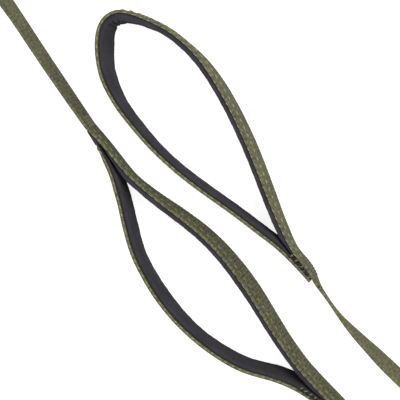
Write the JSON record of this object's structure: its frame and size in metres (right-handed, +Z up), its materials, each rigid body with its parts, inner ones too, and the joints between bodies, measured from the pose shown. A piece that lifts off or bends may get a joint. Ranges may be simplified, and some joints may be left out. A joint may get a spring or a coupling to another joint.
{
  "type": "flat web sling",
  "caption": "Flat webbing sling with a padded end loop, a padded middle loop and a swivel bolt snap at the other end.",
  "frame": {"origin": "on the floor under the middle of the sling, the free strap and its coil left out", "axes": "+X runs along the sling from the coiled strap to the snap, +Y from the end loop to the middle loop, +Z up along the width of the web, which stands on its edge"},
  "size_m": [0.6052, 0.1274, 0.0334],
  "materials": {
    "olive_web": "woven nylon webbing, matt, with fine cross ribs",
    "black_padding": "soft black knitted padding, matt",
    "light_thread": "light olive sewing thread, slight sheen",
    "olive_thread": "olive sewing thread",
    "black_thread": "thick black sewing thread",
    "cast_metal": "cast and tumbled, nickel plated",
    "bright_metal": "turned and plated"
  },
  "bodies": {
    "sling": {"tail_web": "olive_web", "middle_loop_main_web": "olive_web", "middle_loop_second_web": "olive_web", "end_loop_web": "olive_web", "middle_loop_main_pad": "black_padding", "middle_loop_second_pad": "black_padding", "end_loop_pad": "black_padding", "middle_loop_main_thread": "light_thread", "middle_loop_second_thread": "light_thread", "end_loop_thread": "light_thread", "tack_at_snap": "black_thread", "tack_at_tail_fork": "olive_thread", "tack_at_strap_fork": "black_thread", "tack_at_end_loop": "olive_thread", "strap_to_end_loop": "olive_web", "strap_from_middle_loop": "olive_web", "strap_coil": "olive_web"},
    "eye": {"swivel_eye": "cast_metal", "swivel_washer": "bright_metal"},
    "snap": {"snap_body": "cast_metal", "swivel_stud": "bright_metal", "barrel_plug": "bright_metal", "bolt_spring": "bright_metal"},
    "latch": {"latch_bolt": "bright_metal", "thumb_knob": "bright_metal"}
  },
  "joints": [
    {"name": "eye_swing", "type": "hinge", "parent": "sling", "child": "eye", "pos_m": [0.1778, 0.0162, 0.0168], "axis": [0, 0, 1], "range_deg": [-70, 70]},
    {"name": "snap_swivel", "type": "hinge", "parent": "eye", "child": "snap", "pos_m": [0.1923, 0.0162, 0.0168], "axis": [1, 0, 0], "continuous": true},
    {"name": "bolt_slide", "type": "slide", "parent": "snap", "child": "latch", "axis": [-1, 0, 0], "range_m": [0, 0.008], "stiffness_N_per_m": 300, "springref_m": -0.004, "deforming": ["bolt_spring"]}
  ]
}
